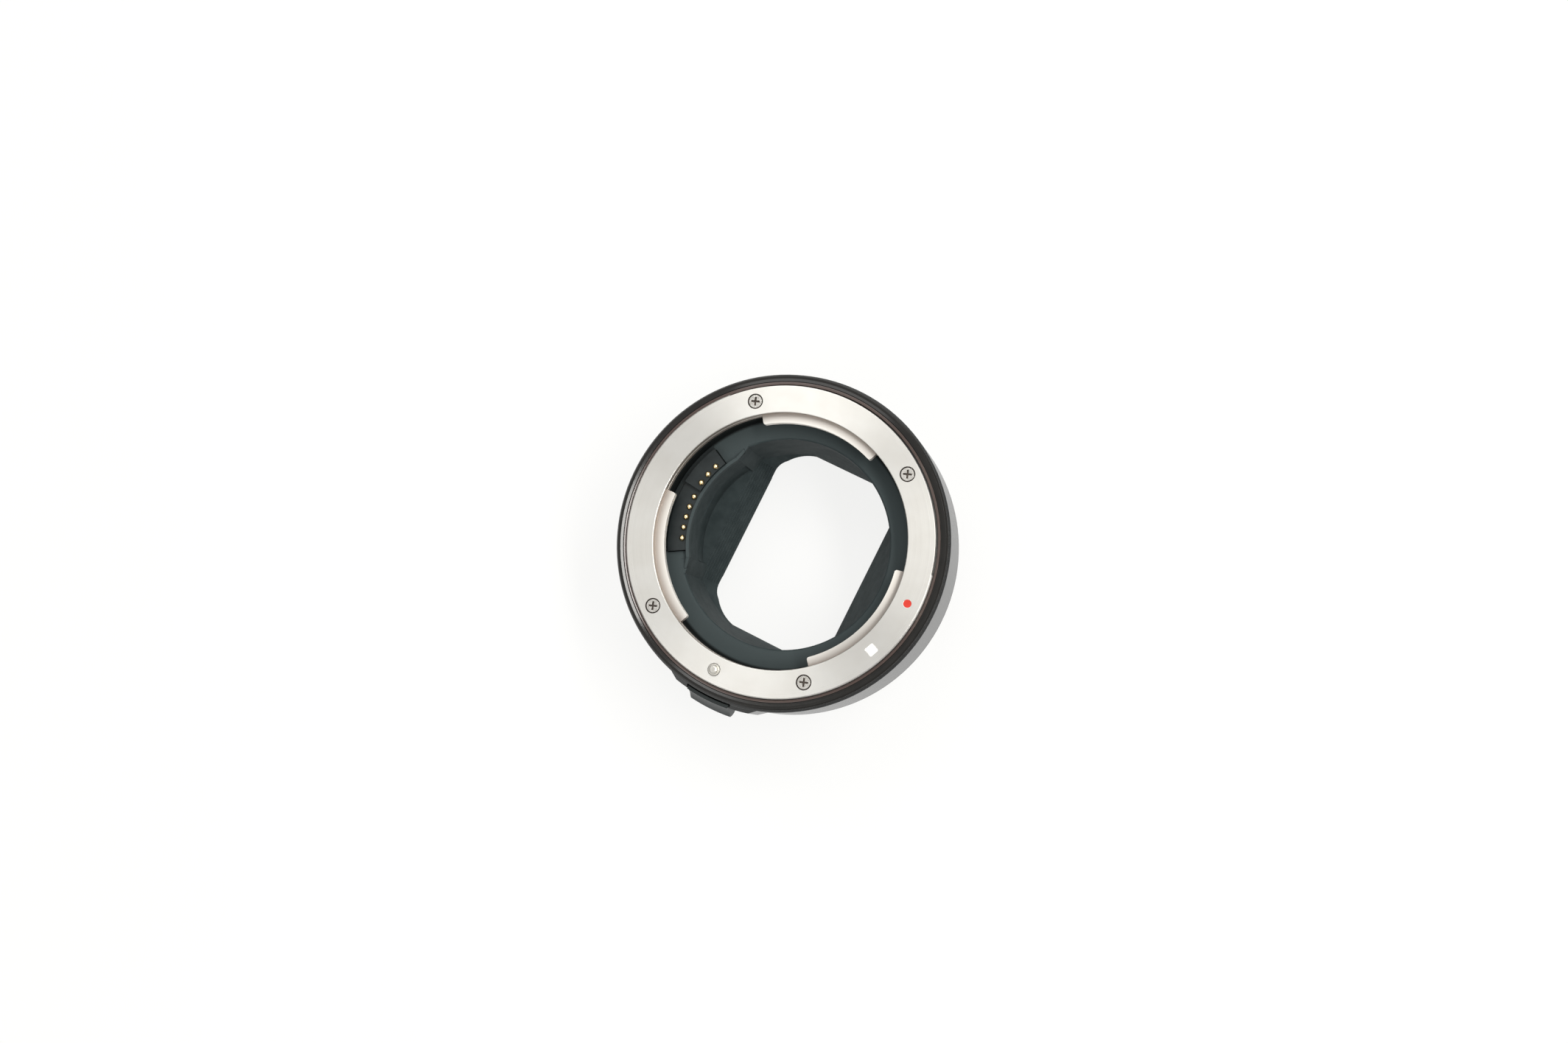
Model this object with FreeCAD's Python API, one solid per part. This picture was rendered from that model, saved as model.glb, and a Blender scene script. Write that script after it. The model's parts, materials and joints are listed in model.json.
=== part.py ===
import FreeCAD, Part
import math
import os

from FreeCAD import Vector

# Mount adapter for SLR lenses on a mirrorless camera, in millimetres.
# Z is the optical axis and points to the lens. z = 0 is the camera-side flange face.
# X points to the red mark of the lens side, so the electrical contacts lie along -X.

# Flange distance and the lens-side ring
register = 24.0            # camera flange face to lens flange face
throat_r = 27.0            # bore of the lens-side ring
tab_reach = 2.0            # how far the three bayonet tabs stand into the bore
tab_drop = 1.3             # lens flange face to the face of the tabs
tab_t = 1.5                # thickness of a tab
tab_corner = 0.5           # rounding of the tab corners
lens_tabs = ((12.0, -50.0), (68.0, 125.3), (181.7, 245.0))
lug_groove = 0.35          # the bore is this much wider behind the faces of the tabs
flange_w = 5.95            # width of the lens-side flange
flange_t = 1.6
flange_edge = 0.25         # chamfer round the flange
relief_step = 0.25         # the flange is this much smaller along its relieved arc
relief_from, relief_to = 13.0, 136.0
skirt_t = 1.4              # wall of the ring below the flange
skirt_depth = 3.0          # lens flange face to the end of that wall
throat_edge = 0.15         # chamfer at the mouth of the bore
leaf_t = 0.3               # flat spring under that wall
leaf_slit = 0.3            # slit that frees a finger of the spring
leaf_finger_half = 16.0    # half angle of a finger
leaf_root = 8.0            # angle over which a finger joins its ring

# Screws and marks on the lens-side flange
mount_screw_inset = 3.0    # bore to the screws' centres
mount_screw_angles = (-126.8, -52.8, 52.8, 126.8)
mount_head_r = 1.5
mount_head_h = 0.85
mount_shank_r = 0.85
mount_screw_length = 5.2
head_sink = 0.05           # screw heads lie this far under the flange face
cross_w = 0.42             # width of the driver cross
cross_depth = 0.5
cross_turn = 20.0          # angle of the driver cross
mark_inset = 3.1           # bore to the marks' centres
red_mark_r = 0.85
white_mark_w = 2.1
white_mark_angle = -22.8
mark_depth = 0.3
mark_sink = 0.04
side_mark_depth = 0.5      # depth of the field on the rear cone

# Barrel
rim_gap = 0.15             # slit between lens flange and front ring
rim_w = 2.1                # width of the front ring
rim_h = 2.0
rim_drop = 0.4             # lens flange face to the top of the front ring
rim_edge = 0.35            # chamfer outside
rim_bevel = 0.55           # bevel inside, on both sides of the groove
rim_groove_w = 0.12
rim_groove_depth = 0.25
shoulder_w = 0.4           # the barrel is this much larger than the front ring
shoulder_h = 0.4
wall = 2.6                 # wall of the barrel
front_deck_t = 2.0         # plate that carries the lens-side ring
rear_deck_t = 2.0          # plate that carries the camera-side ring
ledge_t = 1.2              # shelf under the flange of the baffle
sleeve_t = 1.2             # wall round that flange
boss_wall = 1.45           # plastic round a screw's shank
rear_cone_top = 7.0        # where the barrel starts to taper to the camera
rear_lip = 0.25            # wall outside the seal
rear_edge = 0.3
rear_edge_z = 0.5          # the barrel ends this far above the camera flange face
parting_w = 0.3            # groove between barrel and rear end
parting_depth = 0.25

# Camera-side ring
rear_flange_t = 1.8
spigot_step = 0.4          # outside of the baffle's body to the bore of the male bayonet
spigot_t = 1.6             # wall of the male bayonet
spigot_h = 5.4             # length behind the camera flange face
lug_reach = 1.65           # how far the three lugs stand out of it
lug_drop = 3.4             # flange face to the face of the lugs
lug_t = 1.5
camera_lugs = ((-25.0, 35.0), (100.0, 155.0), (215.0, 265.0))
ring_edge = 0.3
rear_screw_step = 5.4      # outside of the baffle's body to the screws' centres
rear_screw_inset = 3.6     # screws' centres to the edge of the flange
rear_screw_angles = (45.0, 135.0, 225.0, 315.0)
lock_hole_r = 1.35
lock_hole_depth = 2.6
seal_t = 0.65
seal_sink = 0.15
seal_edge = 0.2

# Light baffle
baffle_rim_step = 0.2      # its rim reaches this far inside the bore
baffle_wall = 0.8
baffle_flange_t = 1.5
baffle_floor = 6.2         # lens flange face to the floor round the light path
floor_t = 1.2
baffle_body_step = 3.0     # bore to the outside of the baffle's body
mouth_step = 4.6           # bore to the round mouth of the light path
mouth_edge = 0.4
parapet_step = 1.8         # mouth to the low wall before the contacts
parapet_t = 0.7
parapet_h = 1.1
parapet_half = 34.0        # half angle that it covers
gate_z = -2.6              # rear edge of the light path
gate_red_x = 14.6          # half size of the gate towards the red mark
gate_contact_x = 14.3      # half size towards the contacts
gate_y = 20.9
gate_wall = 1.2
gate_flat_red = 6.8        # the straight long ends run between these two
gate_flat_contact = 7.2
gate_red_corner = (10.6, 18.7)       # middle of the arc to the red side
gate_red_end = 14.6                  # half length of the red side
gate_contact_corners = ((10.4, 19.5), (12.8, 17.2), (13.9, 15.8))
gate_contact_end = 14.0              # half length of the contact side
funnel_spread = 1.55       # how far the funnel opens along X over its depth
funnel_spread_y = 1.08
funnel_land = 2.5          # the spread is reached this far under the floor
scoop_step = 0.6           # relief under the contacts, outside the low wall
scoop_floor = 4.0
scoop_top = 11.2
ridge_pitch = 0.8          # light-blocking ridges on the wall below the contacts
ridge_depth = 0.3
ridge_count = 15
ridge_start = 0.6          # gate to the first one
ridge_land = 0.24          # each one's blunt edge
ridge_half = 14.4          # half length of a ridge
baffle_screw_angles = (0.0, 110.0, -110.0)
baffle_screw_step = 1.9    # body of the baffle to the screws' centres
baffle_ear_r = 2.0
baffle_ear_h = 3.0
baffle_ear_half = 4.4      # half angle of the web behind an ear
small_head_r = 1.2         # screws that hold the baffle
small_head_h = 0.65
small_shank_r = 0.6
small_screw_bite = 2.4     # how far they reach into an ear

# Lens contacts
pin_r = 0.6
pin_inset = 4.85           # bore to the pins' centres
pins_low = (178.9, 185.0, 190.9, 196.8, 202.8)
pins_high = (158.3, 164.3, 170.2)
block_from, block_step_at, block_to = 153.2, 174.4, 209.5
block_out_step = 1.6       # bore to the outside of the block
block_drop = 5.4           # lens flange face to the face under the group of five
block_step = 1.0           # the group of three stands this much higher
block_h = 5.0
block_slit = 0.3           # degrees between the block and the ends of its pocket
block_foot_h = 0.4
pin_proud = 0.8
pin_travel = 0.9
collar_r = 0.85
collar_h = 0.6
collar_lift = 2.05         # height of a collar over the circuit board
pin_spring_wire = 0.24
pin_spring_turns = 3
board_t = 0.7
board_gap = 0.1            # edge of the circuit board to the block's edge
flex_t = 0.15
flex_from, flex_to = 178.0, 190.0
board_screw_angles = (174.5, 206.2)
board_screw_inset = 2.9    # bore to the screws' centres
board_head_r = 0.9
board_head_h = 0.55
board_shank_r = 0.5
board_screw_length = 4.2

# Camera contacts
rear_block_from, rear_block_to = 140.0, 220.0
rear_block_end = -4.6
pad_count = 12
pad_pitch = 5.2            # degrees
pad_inset = 2.3            # bore of the spigot to the pads' centres
pad_w = 1.2
pad_l = 2.0
pad_t = 0.3
pad_proud = 0.05
rear_block_screw_angles = (145.6, 214.4)
rear_block_screw_inset = 1.6
rear_block_head_r = 1.0
rear_block_bite = 2.8      # how far its screws reach into the baffle

# Lens lock
lock_inset = 3.0           # bore to the pin's centre
lock_tip_r = 1.0
lock_pin_r = 1.25          # radius below the tip
lock_pin_proud = 1.2
lock_step_proud = 0.1      # the shoulder under the tip stands this far out of the flange
lock_travel = 1.8
lock_boss_half = 7.0       # half angle of the boss round the pin's bush
spring_post_h = 2.0
bush_r = 1.55
bush_h = 3.4
slider_w = 6.0
slider_h = 2.8
slider_in, slider_out = 2.1, 2.2     # reach of the carriage inside and outside the pin's centre
slider_corner = 0.8
tongue_t = 1.6
tongue_w = 4.8
lever_x = 0.6              # the thumb piece sits a little beside the pin
lever_w = 9.6
lever_in_gap = 0.3
lever_proud = 2.7
lever_top = 20.7
lever_bottom = 12.6
lever_foot = 2.0           # height of its blunt lower edge
lever_hollow = 0.35        # how deep its ramp is hollowed
lever_lip = 0.75           # thickness at its top
lever_corner = 1.9
fairing_proud = 0.85
fairing_bottom, fairing_top = 9.8, 20.9
fairing_from, fairing_to = -105.5, -70.5
fairing_ramp = 4.0         # degrees over which a flank rises
channel_depth = 0.1
lock_spring_r = 1.05
lock_spring_wire = 0.3
lock_spring_turns = 8
lever_screw_x = 1.6
lever_screw_out = 1.6      # pin's centre to the lever's screws
lever_head_r = 0.75
lever_head_h = 0.5
lever_shank_r = 0.38
lever_screw_length = 4.2

# Clearances
fit = 0.05                 # parts that are pushed together
slide = 0.045              # radial clearance of pins in their bores
play = 0.3                 # round the lever and its tongue
thread_gap = 0.03
seat_gap = 0.1             # round parts that drop into a recess
overlap = 0.5              # how far forms that make one solid run into each other

# Radii worked out from the sizes above
tab_r = throat_r - tab_reach
groove_r = throat_r + lug_groove
flange_r = throat_r + flange_w
relief_r = flange_r - relief_step
skirt_r = throat_r + skirt_t
mount_screw_pcr = throat_r + mount_screw_inset
mark_pcr = throat_r + mark_inset
lock_pcr = throat_r + lock_inset
rim_in_r = flange_r + rim_gap
rim_r = rim_in_r + rim_w
barrel_r = rim_r + shoulder_w
chamber_r = barrel_r - wall
baffle_rim_bore_r = throat_r - baffle_rim_step
baffle_body_r = throat_r - baffle_body_step
spigot_bore_r = baffle_body_r - spigot_step
spigot_r = spigot_bore_r + spigot_t
lug_r = spigot_r + lug_reach
rear_screw_pcr = baffle_body_r + rear_screw_step
rear_flange_r = rear_screw_pcr + rear_screw_inset
seal_r = rear_flange_r + fit + seal_t + fit
rear_edge_r = seal_r + rear_lip + rear_edge
baffle_screw_pcr = baffle_body_r + baffle_screw_step
mouth_r = throat_r - mouth_step
parapet_r = mouth_r - parapet_step
scoop_r = parapet_r + scoop_step
pin_pcr = throat_r - pin_inset
block_in_r = parapet_r + parapet_t + fit
block_out_r = throat_r - block_out_step
block_foot_r = baffle_rim_bore_r - baffle_rim_step
board_screw_pcr = throat_r - board_screw_inset
pad_pcr = spigot_bore_r - pad_inset
rear_block_screw_pcr = spigot_bore_r - rear_block_screw_inset
fairing_r = barrel_r + fairing_proud
lever_r = barrel_r + lever_proud
slider_in_y, slider_out_y = slider_in - lock_pcr, -slider_out - lock_pcr
lever_screw_y = -lever_screw_out - lock_pcr

# Heights worked out from the sizes above
deck_z = register - flange_t
deck_under = deck_z - front_deck_t
skirt_z = register - skirt_depth
baffle_top = skirt_z - leaf_t
ledge_z = baffle_top - baffle_flange_t
floor_z = register - baffle_floor
baffle_foot = rear_flange_t + seat_gap
rim_top = register - rim_drop
rim_seat = rim_top - rim_h
block_z = register - block_drop
block_base = block_z - block_h
board_z = block_base - board_t
collar_z = block_base + collar_lift
slider_top = deck_z - bush_h - seat_gap
slider_z = slider_top - slider_h
tongue_z = slider_z - tongue_t
rear_deck_top = rear_flange_t + rear_deck_t


def polar(r, angle, z=0.0):
    a = math.radians(angle)
    return Vector(r * math.cos(a), r * math.sin(a), z)


def arc(r, a0, a1, z):
    return Part.Arc(polar(r, a0, z), polar(r, (a0 + a1) / 2, z), polar(r, a1, z)).toShape()


def line(p, q):
    return Part.LineSegment(p, q).toShape()


def turned(profile):
    """Solid turned about the optical axis from (radius, height) points."""
    points = [Vector(r, 0, z) for r, z in profile]
    face = Part.Face(Part.makePolygon(points + points[:1]))
    return face.revolve(Vector(0, 0, 0), Vector(0, 0, 1), 360)


def ring(r_in, r_out, z0, z1):
    return turned([(r_in, z0), (r_out, z0), (r_out, z1), (r_in, z1)])


def rod(r, at, z0, z1):
    return Part.makeCylinder(r, z1 - z0, Vector(at.x, at.y, z0))


def sector(r_in, r_out, a0, a1, z0, z1):
    """Piece of a flat ring between two angles."""
    edges = [arc(r_out, a0, a1, z0), line(polar(r_out, a1, z0), polar(r_in, a1, z0)),
             arc(r_in, a1, a0, z0), line(polar(r_in, a0, z0), polar(r_out, a0, z0))]
    return Part.Face(Part.Wire(edges)).extrude(Vector(0, 0, z1 - z0))


def block(x0, x1, y0, y1, z0, z1):
    return Part.makeBox(x1 - x0, y1 - y0, z1 - z0, Vector(x0, y0, z0))


def fused(shapes):
    first, *rest = shapes
    return first.fuse(rest).removeSplitter()


def upright_edges(shape):
    """Edges that run along Z."""
    found = []
    for edge in shape.Edges:
        a, b = edge.Vertexes[0].Point, edge.Vertexes[-1].Point
        if abs(a.x - b.x) + abs(a.y - b.y) < 1e-6 and abs(a.z - b.z) > 1e-3:
            found.append(edge)
    return found


def edges_at_radius(shape, r, near=0.05):
    """Those of the upright edges that stand at radius r."""
    return [e for e in upright_edges(shape)
            if abs(math.hypot(e.Vertexes[0].Point.x, e.Vertexes[0].Point.y) - r) < near]


def machine_screw(at, face_z, up, head_r, head_h, shank_r, length):
    """Screw with a flat head and a driver cross; up is 1 when the head faces +Z."""
    edge = 0.15
    profile = [(0, 0), (head_r - edge, 0), (head_r, -edge), (head_r, -head_h),
               (shank_r, -head_h), (shank_r, -length + edge), (shank_r - edge, -length), (0, -length)]
    body = turned(profile)
    arm = head_r * 0.62
    for angle in (0, 90):
        slot = block(-arm, arm, -cross_w / 2, cross_w / 2, -cross_depth, 0.1)
        slot.rotate(Vector(0, 0, 0), Vector(0, 0, 1), angle + cross_turn)
        body = body.cut(slot)
    if up < 0:
        body.rotate(Vector(0, 0, 0), Vector(1, 0, 0), 180)
    body.translate(Vector(at.x, at.y, face_z))
    return body


def screw_hole(at, face_z, up, head_r, head_h, shank_r, length):
    """Counterbored hole that such a screw drops into."""
    def along(depth):
        return face_z - up * depth
    hole = [rod(head_r, at, *sorted((along(-1.0), along(head_h)))),
            rod(shank_r, at, *sorted((along(0.0), along(length))))]
    return fused(hole)


def lens_mount_ring():
    tab_top = register - tab_drop
    body = turned([(throat_r + throat_edge, register), (throat_r, register - throat_edge),
                   (throat_r, tab_top), (groove_r, tab_top), (groove_r, skirt_z), (skirt_r, skirt_z),
                   (skirt_r, deck_z), (flange_r, deck_z), (flange_r, register - flange_edge),
                   (flange_r - flange_edge, register)])
    relief = sector(relief_r, flange_r + 1, relief_from, relief_to, deck_z - 1, register + 1)
    body = body.cut(relief)
    tabs = []
    for a0, a1 in lens_tabs:
        tab = sector(tab_r, (groove_r + skirt_r) / 2, a0, a1, tab_top - tab_t, tab_top)
        tabs.append(tab.makeFillet(tab_corner, edges_at_radius(tab, tab_r)))
    body = fused([body] + tabs)
    for angle in mount_screw_angles:
        at = polar(mount_screw_pcr, angle)
        body = body.cut(screw_hole(at, register, 1, mount_head_r + fit, mount_head_h + head_sink,
                                   mount_shank_r + fit, flange_t + 1))
    body = body.cut(rod(lock_pin_r + 2 * slide, polar(lock_pcr, -90), deck_z - 1, register + 1))
    body = body.cut(red_mark_shape(register - mark_depth, register + 1))
    return body.cut(white_mark_shape(register - mark_depth, register + 1))


def red_mark_shape(z0, z1):
    return rod(red_mark_r, polar(mark_pcr, 0), z0, z1)


def white_mark_shape(z0, z1):
    half = white_mark_w / 2
    mark = block(mark_pcr - half, mark_pcr + half, -half, half, z0, z1)
    mark = mark.makeFillet(half * 0.35, upright_edges(mark))
    mark.rotate(Vector(0, 0, 0), Vector(0, 0, 1), white_mark_angle)
    return mark


def mount_leaf_spring():
    """Flat ring with three fingers that press the lens bayonet against its seat."""
    parts = [ring(groove_r, skirt_r, baffle_top, skirt_z)]
    for a0, a1 in lens_tabs:
        first = (a0 + a1) / 2 - leaf_finger_half
        last = first + 2 * leaf_finger_half
        parts.append(sector(tab_r + leaf_slit, groove_r - 2 * leaf_slit, first, last, baffle_top, skirt_z))
        parts.append(sector(groove_r - 3 * leaf_slit, groove_r + leaf_slit, first, first + leaf_root,
                            baffle_top, skirt_z))
    return fused(parts)


def lens_mount_screws():
    return [machine_screw(polar(mount_screw_pcr, a), register - head_sink, 1, mount_head_r,
                          mount_head_h, mount_shank_r, mount_screw_length) for a in mount_screw_angles]


def front_rim_ring():
    """Polished ring round the lens flange, with a bevel and a fine groove inside its edge."""
    line_in = rim_in_r + rim_bevel
    line_out = line_in + rim_groove_w
    mouth = rim_top - rim_bevel / 2
    return turned([(rim_in_r, rim_seat), (rim_r, rim_seat), (rim_r, rim_top - rim_edge),
                   (rim_r - rim_edge, rim_top), (line_out + rim_bevel, rim_top), (line_out, mouth),
                   (line_out, mouth - rim_groove_depth), (line_in, mouth - rim_groove_depth),
                   (line_in, mouth), (rim_in_r, rim_top - rim_bevel)])


def barrel_outline(inset):
    """Outer profile of the barrel, from the front shoulder to the rear edge."""
    r, groove_z = barrel_r - inset, rear_cone_top
    return [(rim_r - inset, rim_seat), (r, rim_seat - shoulder_h), (r, groove_z + parting_w),
            (r - parting_depth, groove_z + parting_w), (r - parting_depth, groove_z), (r, groove_z),
            (rear_edge_r - inset, rear_edge_z + rear_edge), (rear_edge_r - rear_edge - inset, rear_edge_z)]


def lever_fairing():
    """Raised flanks on both sides of the release lever."""
    base = barrel_r - wall / 2
    low = barrel_r - 0.2
    a0, a1 = fairing_from, fairing_to
    z = fairing_bottom - 1
    edges = [line(polar(base, a0, z), polar(low, a0, z)),
             line(polar(low, a0, z), polar(fairing_r, a0 + fairing_ramp, z)),
             arc(fairing_r, a0 + fairing_ramp, a1 - fairing_ramp, z),
             line(polar(fairing_r, a1 - fairing_ramp, z), polar(low, a1, z)),
             line(polar(low, a1, z), polar(base, a1, z)), arc(base, a1, a0, z)]
    flanks = Part.Face(Part.Wire(edges)).extrude(Vector(0, 0, fairing_top - fairing_bottom + 2))
    outside = fairing_r + 0.5
    inside = barrel_r - 0.4
    slope = outside - barrel_r
    tuck = barrel_r - inside
    limits = turned([(base - 1, fairing_bottom - tuck), (inside, fairing_bottom - tuck),
                     (outside, fairing_bottom + slope), (outside, fairing_top - slope),
                     (inside, fairing_top + tuck), (base - 1, fairing_top + tuck)])
    return flanks.common(limits)


def barrel():
    sleeve_r = skirt_r + sleeve_t
    ledge_r = baffle_rim_bore_r + baffle_wall + seat_gap
    recess_r = skirt_r + seat_gap
    rear_bore_r = baffle_body_r + 4 * seat_gap
    shell = turned([(recess_r, deck_z), (rim_in_r - fit, deck_z), (rim_in_r - fit, rim_seat)]
                   + barrel_outline(0.0)
                   + [(seal_r, rear_edge_z), (seal_r, rear_flange_t), (rear_bore_r, rear_flange_t),
                      (rear_bore_r, rear_deck_top), (chamber_r - rear_edge, rear_deck_top),
                      (chamber_r, rear_deck_top + rear_edge), (chamber_r, deck_under),
                      (sleeve_r, deck_under), (sleeve_r, ledge_z - ledge_t),
                      (ledge_r, ledge_z - ledge_t), (ledge_r, ledge_z), (recess_r, ledge_z)])
    boss_r = mount_shank_r + boss_wall
    screw_end = register - mount_screw_length
    bosses = [rod(boss_r, polar(mount_screw_pcr, a), screw_end - 1, deck_under + overlap)
              for a in mount_screw_angles]
    bosses += [rod(boss_r - seat_gap, polar(rear_screw_pcr, a), rear_deck_top - overlap,
                   mount_screw_length + boss_wall) for a in rear_screw_angles]
    lock = polar(lock_pcr, -90)
    bosses.append(sector(recess_r, chamber_r + overlap, -90 - lock_boss_half, -90 + lock_boss_half, ledge_z,
                         deck_under + overlap))
    spring_post_r = lock_spring_r - lock_spring_wire / 2 - 2 * seat_gap
    bosses.append(rod(spring_post_r, lock, rear_deck_top - overlap, rear_deck_top + spring_post_h))
    body = fused([shell, lever_fairing()] + bosses)
    body = body.cut(rod(recess_r, Vector(0, 0, 0), ledge_z, deck_z + 1))

    for angle in mount_screw_angles:
        body = body.cut(rod(mount_shank_r + thread_gap, polar(mount_screw_pcr, angle),
                            screw_end - play, deck_z + 1))
    for angle in rear_screw_angles:
        body = body.cut(rod(mount_shank_r + thread_gap, polar(rear_screw_pcr, angle),
                            rear_flange_t - 1, mount_screw_length + play))
    for angle in baffle_screw_angles:
        body = body.cut(screw_hole(polar(baffle_screw_pcr, angle), rear_flange_t, -1, small_head_r + fit,
                                   small_head_h + fit, small_shank_r + fit, rear_deck_t + 1))
    body = body.cut(rod(bush_r, lock, ledge_z - 1, deck_z + 1))
    body = body.cut(rod(lock_hole_r, polar(rear_screw_pcr, -90), rear_flange_t - 1, lock_hole_depth))

    half = slider_w / 2 + 2 * play
    body = body.cut(block(-half, half, slider_out_y - play, 1 - ledge_r,
                          slider_z - lock_travel - play, ledge_z))
    slot_half = tongue_w / 2 + play
    body = body.cut(block(-slot_half, slot_half, -barrel_r - 1, slider_out_y,
                          tongue_z - lock_travel - play, tongue_z + tongue_t + play))
    channel_half = lever_w / 2 + play
    channel = block(lever_x - channel_half, lever_x + channel_half, -fairing_r - 1, -barrel_r / 2,
                    lever_bottom - lock_travel - 2 * play, fairing_top + 1)
    body = body.cut(channel.common(ring(barrel_r - channel_depth, fairing_r + 2, 0, register)))
    return body.cut(camera_mark_shape(side_mark_depth, -1.0))


def camera_mark_shape(deep, shallow):
    """Round field on the rear cone, between two depths under its surface."""
    at_z = (rear_cone_top + rear_edge_z + rear_edge) / 2
    field = Part.makeCylinder(red_mark_r, barrel_r - seal_r + wall, Vector(seal_r - wall, 0, at_z),
                              Vector(1, 0, 0))
    outer = turned([(0, rear_cone_top)] + barrel_outline(shallow)[5:] + [(0, rear_edge_z)])
    inner = turned([(0, rear_cone_top)] + barrel_outline(deep)[5:] + [(0, rear_edge_z)])
    return field.common(outer).cut(inner)


def gate_half_sizes(z, grow=0.0):
    """Half sizes of the light path at a height: red side, contact side and along Y."""
    rise = (z - gate_z) / (floor_z - funnel_land - gate_z)
    along_x = 1 + (funnel_spread - 1) * rise
    along_y = 1 + (funnel_spread_y - 1) * rise
    return gate_red_x * along_x + grow, gate_contact_x * along_x + grow, gate_y * along_y + grow


def gate_wire(z, grow=0.0):
    """Outline of the light path: straight sides joined by arcs, symmetric about the X axis."""
    red_x, contact_x, y = gate_half_sizes(z, grow)
    kr, kc, ky = red_x / gate_red_x, contact_x / gate_contact_x, y / gate_y
    knots = [(red_x, gate_red_end * ky), (gate_red_corner[0] * kr, gate_red_corner[1] * ky),
             (gate_flat_red * kr, y), (-gate_flat_contact * kc, y)]
    knots += [(-x * kc, up * ky) for x, up in gate_contact_corners]
    knots.append((-contact_x, gate_contact_end * ky))
    a, b, c, d, e, f, g, h = [Vector(x, up, z) for x, up in knots]
    al, bl, cl, dl, el, fl, gl, hl = [Vector(x, -up, z) for x, up in knots]
    edges = [Part.Arc(a, b, c).toShape(), line(c, d), Part.Arc(d, e, f).toShape(),
             Part.Arc(f, g, h).toShape(), line(h, hl), Part.Arc(hl, gl, fl).toShape(),
             Part.Arc(fl, el, dl).toShape(), line(dl, cl), Part.Arc(cl, bl, al).toShape(), line(al, a)]
    return Part.Wire(edges)


def gate_form(z0, z1, grow=0.0):
    """Solid that widens towards the lens as the light path does."""
    return Part.makeLoft([gate_wire(z0, grow), gate_wire(z1, grow)], True, True)


def mouth_column(z0, z1):
    """Round mouth of the light path, drawn in where the contacts stand."""
    side, back = 180 - parapet_half, 180 + parapet_half
    edges = [Part.Arc(polar(mouth_r, -side, z0), polar(mouth_r, 0, z0), polar(mouth_r, side, z0)).toShape(),
             line(polar(mouth_r, side, z0), polar(parapet_r, side, z0)), arc(parapet_r, side, back, z0),
             line(polar(parapet_r, back, z0), polar(mouth_r, back, z0))]
    return Part.Face(Part.Wire(edges)).extrude(Vector(0, 0, z1 - z0))


def funnel():
    """Light path through the baffle: round in front, a rounded rectangle behind."""
    top = floor_z + 2
    return gate_form(gate_z - overlap, top).common(mouth_column(gate_z - overlap, top))


def contact_wall_x(z):
    """Place of the sloping wall below the contacts at a height."""
    return -gate_half_sizes(z)[1]


def ridge(z):
    """Groove between two light-blocking ridges, along the rear edge of the gate."""
    low, high = z, z + ridge_pitch - ridge_land
    corners = [(contact_wall_x(low) + 0.1, low), (contact_wall_x(low) - ridge_depth, low),
               (contact_wall_x(high) + 0.1, high + 0.1)]
    points = [Vector(x, -ridge_half, h) for x, h in corners]
    return Part.Face(Part.makePolygon(points + points[:1])).extrude(Vector(0, 2 * ridge_half, 0))


def light_baffle():
    rim_r_out = baffle_rim_bore_r + baffle_wall
    floor_under = floor_z - floor_t
    body = turned([(0, baffle_foot), (baffle_body_r, baffle_foot), (baffle_body_r, floor_under),
                   (rim_r_out, floor_under), (rim_r_out, ledge_z), (skirt_r, ledge_z),
                   (skirt_r, baffle_top), (baffle_rim_bore_r, baffle_top), (baffle_rim_bore_r, floor_z),
                   (0, floor_z)])
    root = baffle_foot + overlap
    snout = gate_form(gate_z, root, gate_wall)
    snout = snout.common(rod(spigot_bore_r - 2 * seat_gap, Vector(0, 0, 0), gate_z, root))
    side, back = 180 - parapet_half, 180 + parapet_half
    parapet = sector(parapet_r, parapet_r + parapet_t, side, back, floor_z - overlap,
                     floor_z + parapet_h)
    ears = []
    for angle in baffle_screw_angles:
        at = polar(baffle_screw_pcr, angle)
        ears.append(rod(baffle_ear_r, at, rear_deck_top, rear_deck_top + baffle_ear_h))
        ears.append(sector(baffle_body_r - 1, baffle_screw_pcr, angle - baffle_ear_half,
                           angle + baffle_ear_half, rear_deck_top, rear_deck_top + baffle_ear_h))
    body = fused([body, snout, parapet] + ears)

    pocket = sector(parapet_r + parapet_t, block_out_r + seat_gap, block_from - block_slit,
                    block_to + block_slit, board_z - 1, floor_z + 2)
    body = body.cut(pocket)
    body = body.cut(sector(pin_pcr - board_gap, baffle_body_r + 1, flex_from - 1, flex_to + 1,
                           baffle_foot - 1, baffle_foot + 3 * flex_t))
    body = body.cut(funnel())
    over = 0.2
    edge_cone = turned([(0, floor_z + over), (mouth_r + mouth_edge + over, floor_z + over),
                        (mouth_r, floor_z - mouth_edge), (0, floor_z - mouth_edge)])
    keep_off = sector(mouth_r / 2, mouth_r + 2, side, back, floor_z - 2, floor_z + 1)
    body = body.cut(edge_cone.cut(keep_off))
    contact_side = block(-barrel_r, contact_wall_x(scoop_floor) + overlap, -barrel_r, barrel_r, 0, register)
    body = body.cut(rod(scoop_r, Vector(0, 0, 0), scoop_floor, scoop_top).common(contact_side))
    grooves = [ridge(gate_z + ridge_start + i * ridge_pitch) for i in range(ridge_count)]
    column = mouth_column(gate_z, floor_z)
    body = body.cut([g.common(column) for g in grooves])
    for angle in baffle_screw_angles:
        body = body.cut(rod(small_shank_r + thread_gap, polar(baffle_screw_pcr, angle), rear_flange_t,
                            rear_deck_top + small_screw_bite + over))
    for angle in rear_block_screw_angles:
        body = body.cut(rod(small_shank_r + thread_gap, polar(rear_block_screw_pcr, angle), 0,
                            baffle_foot + rear_block_bite + 2 * over))
    return body


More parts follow.
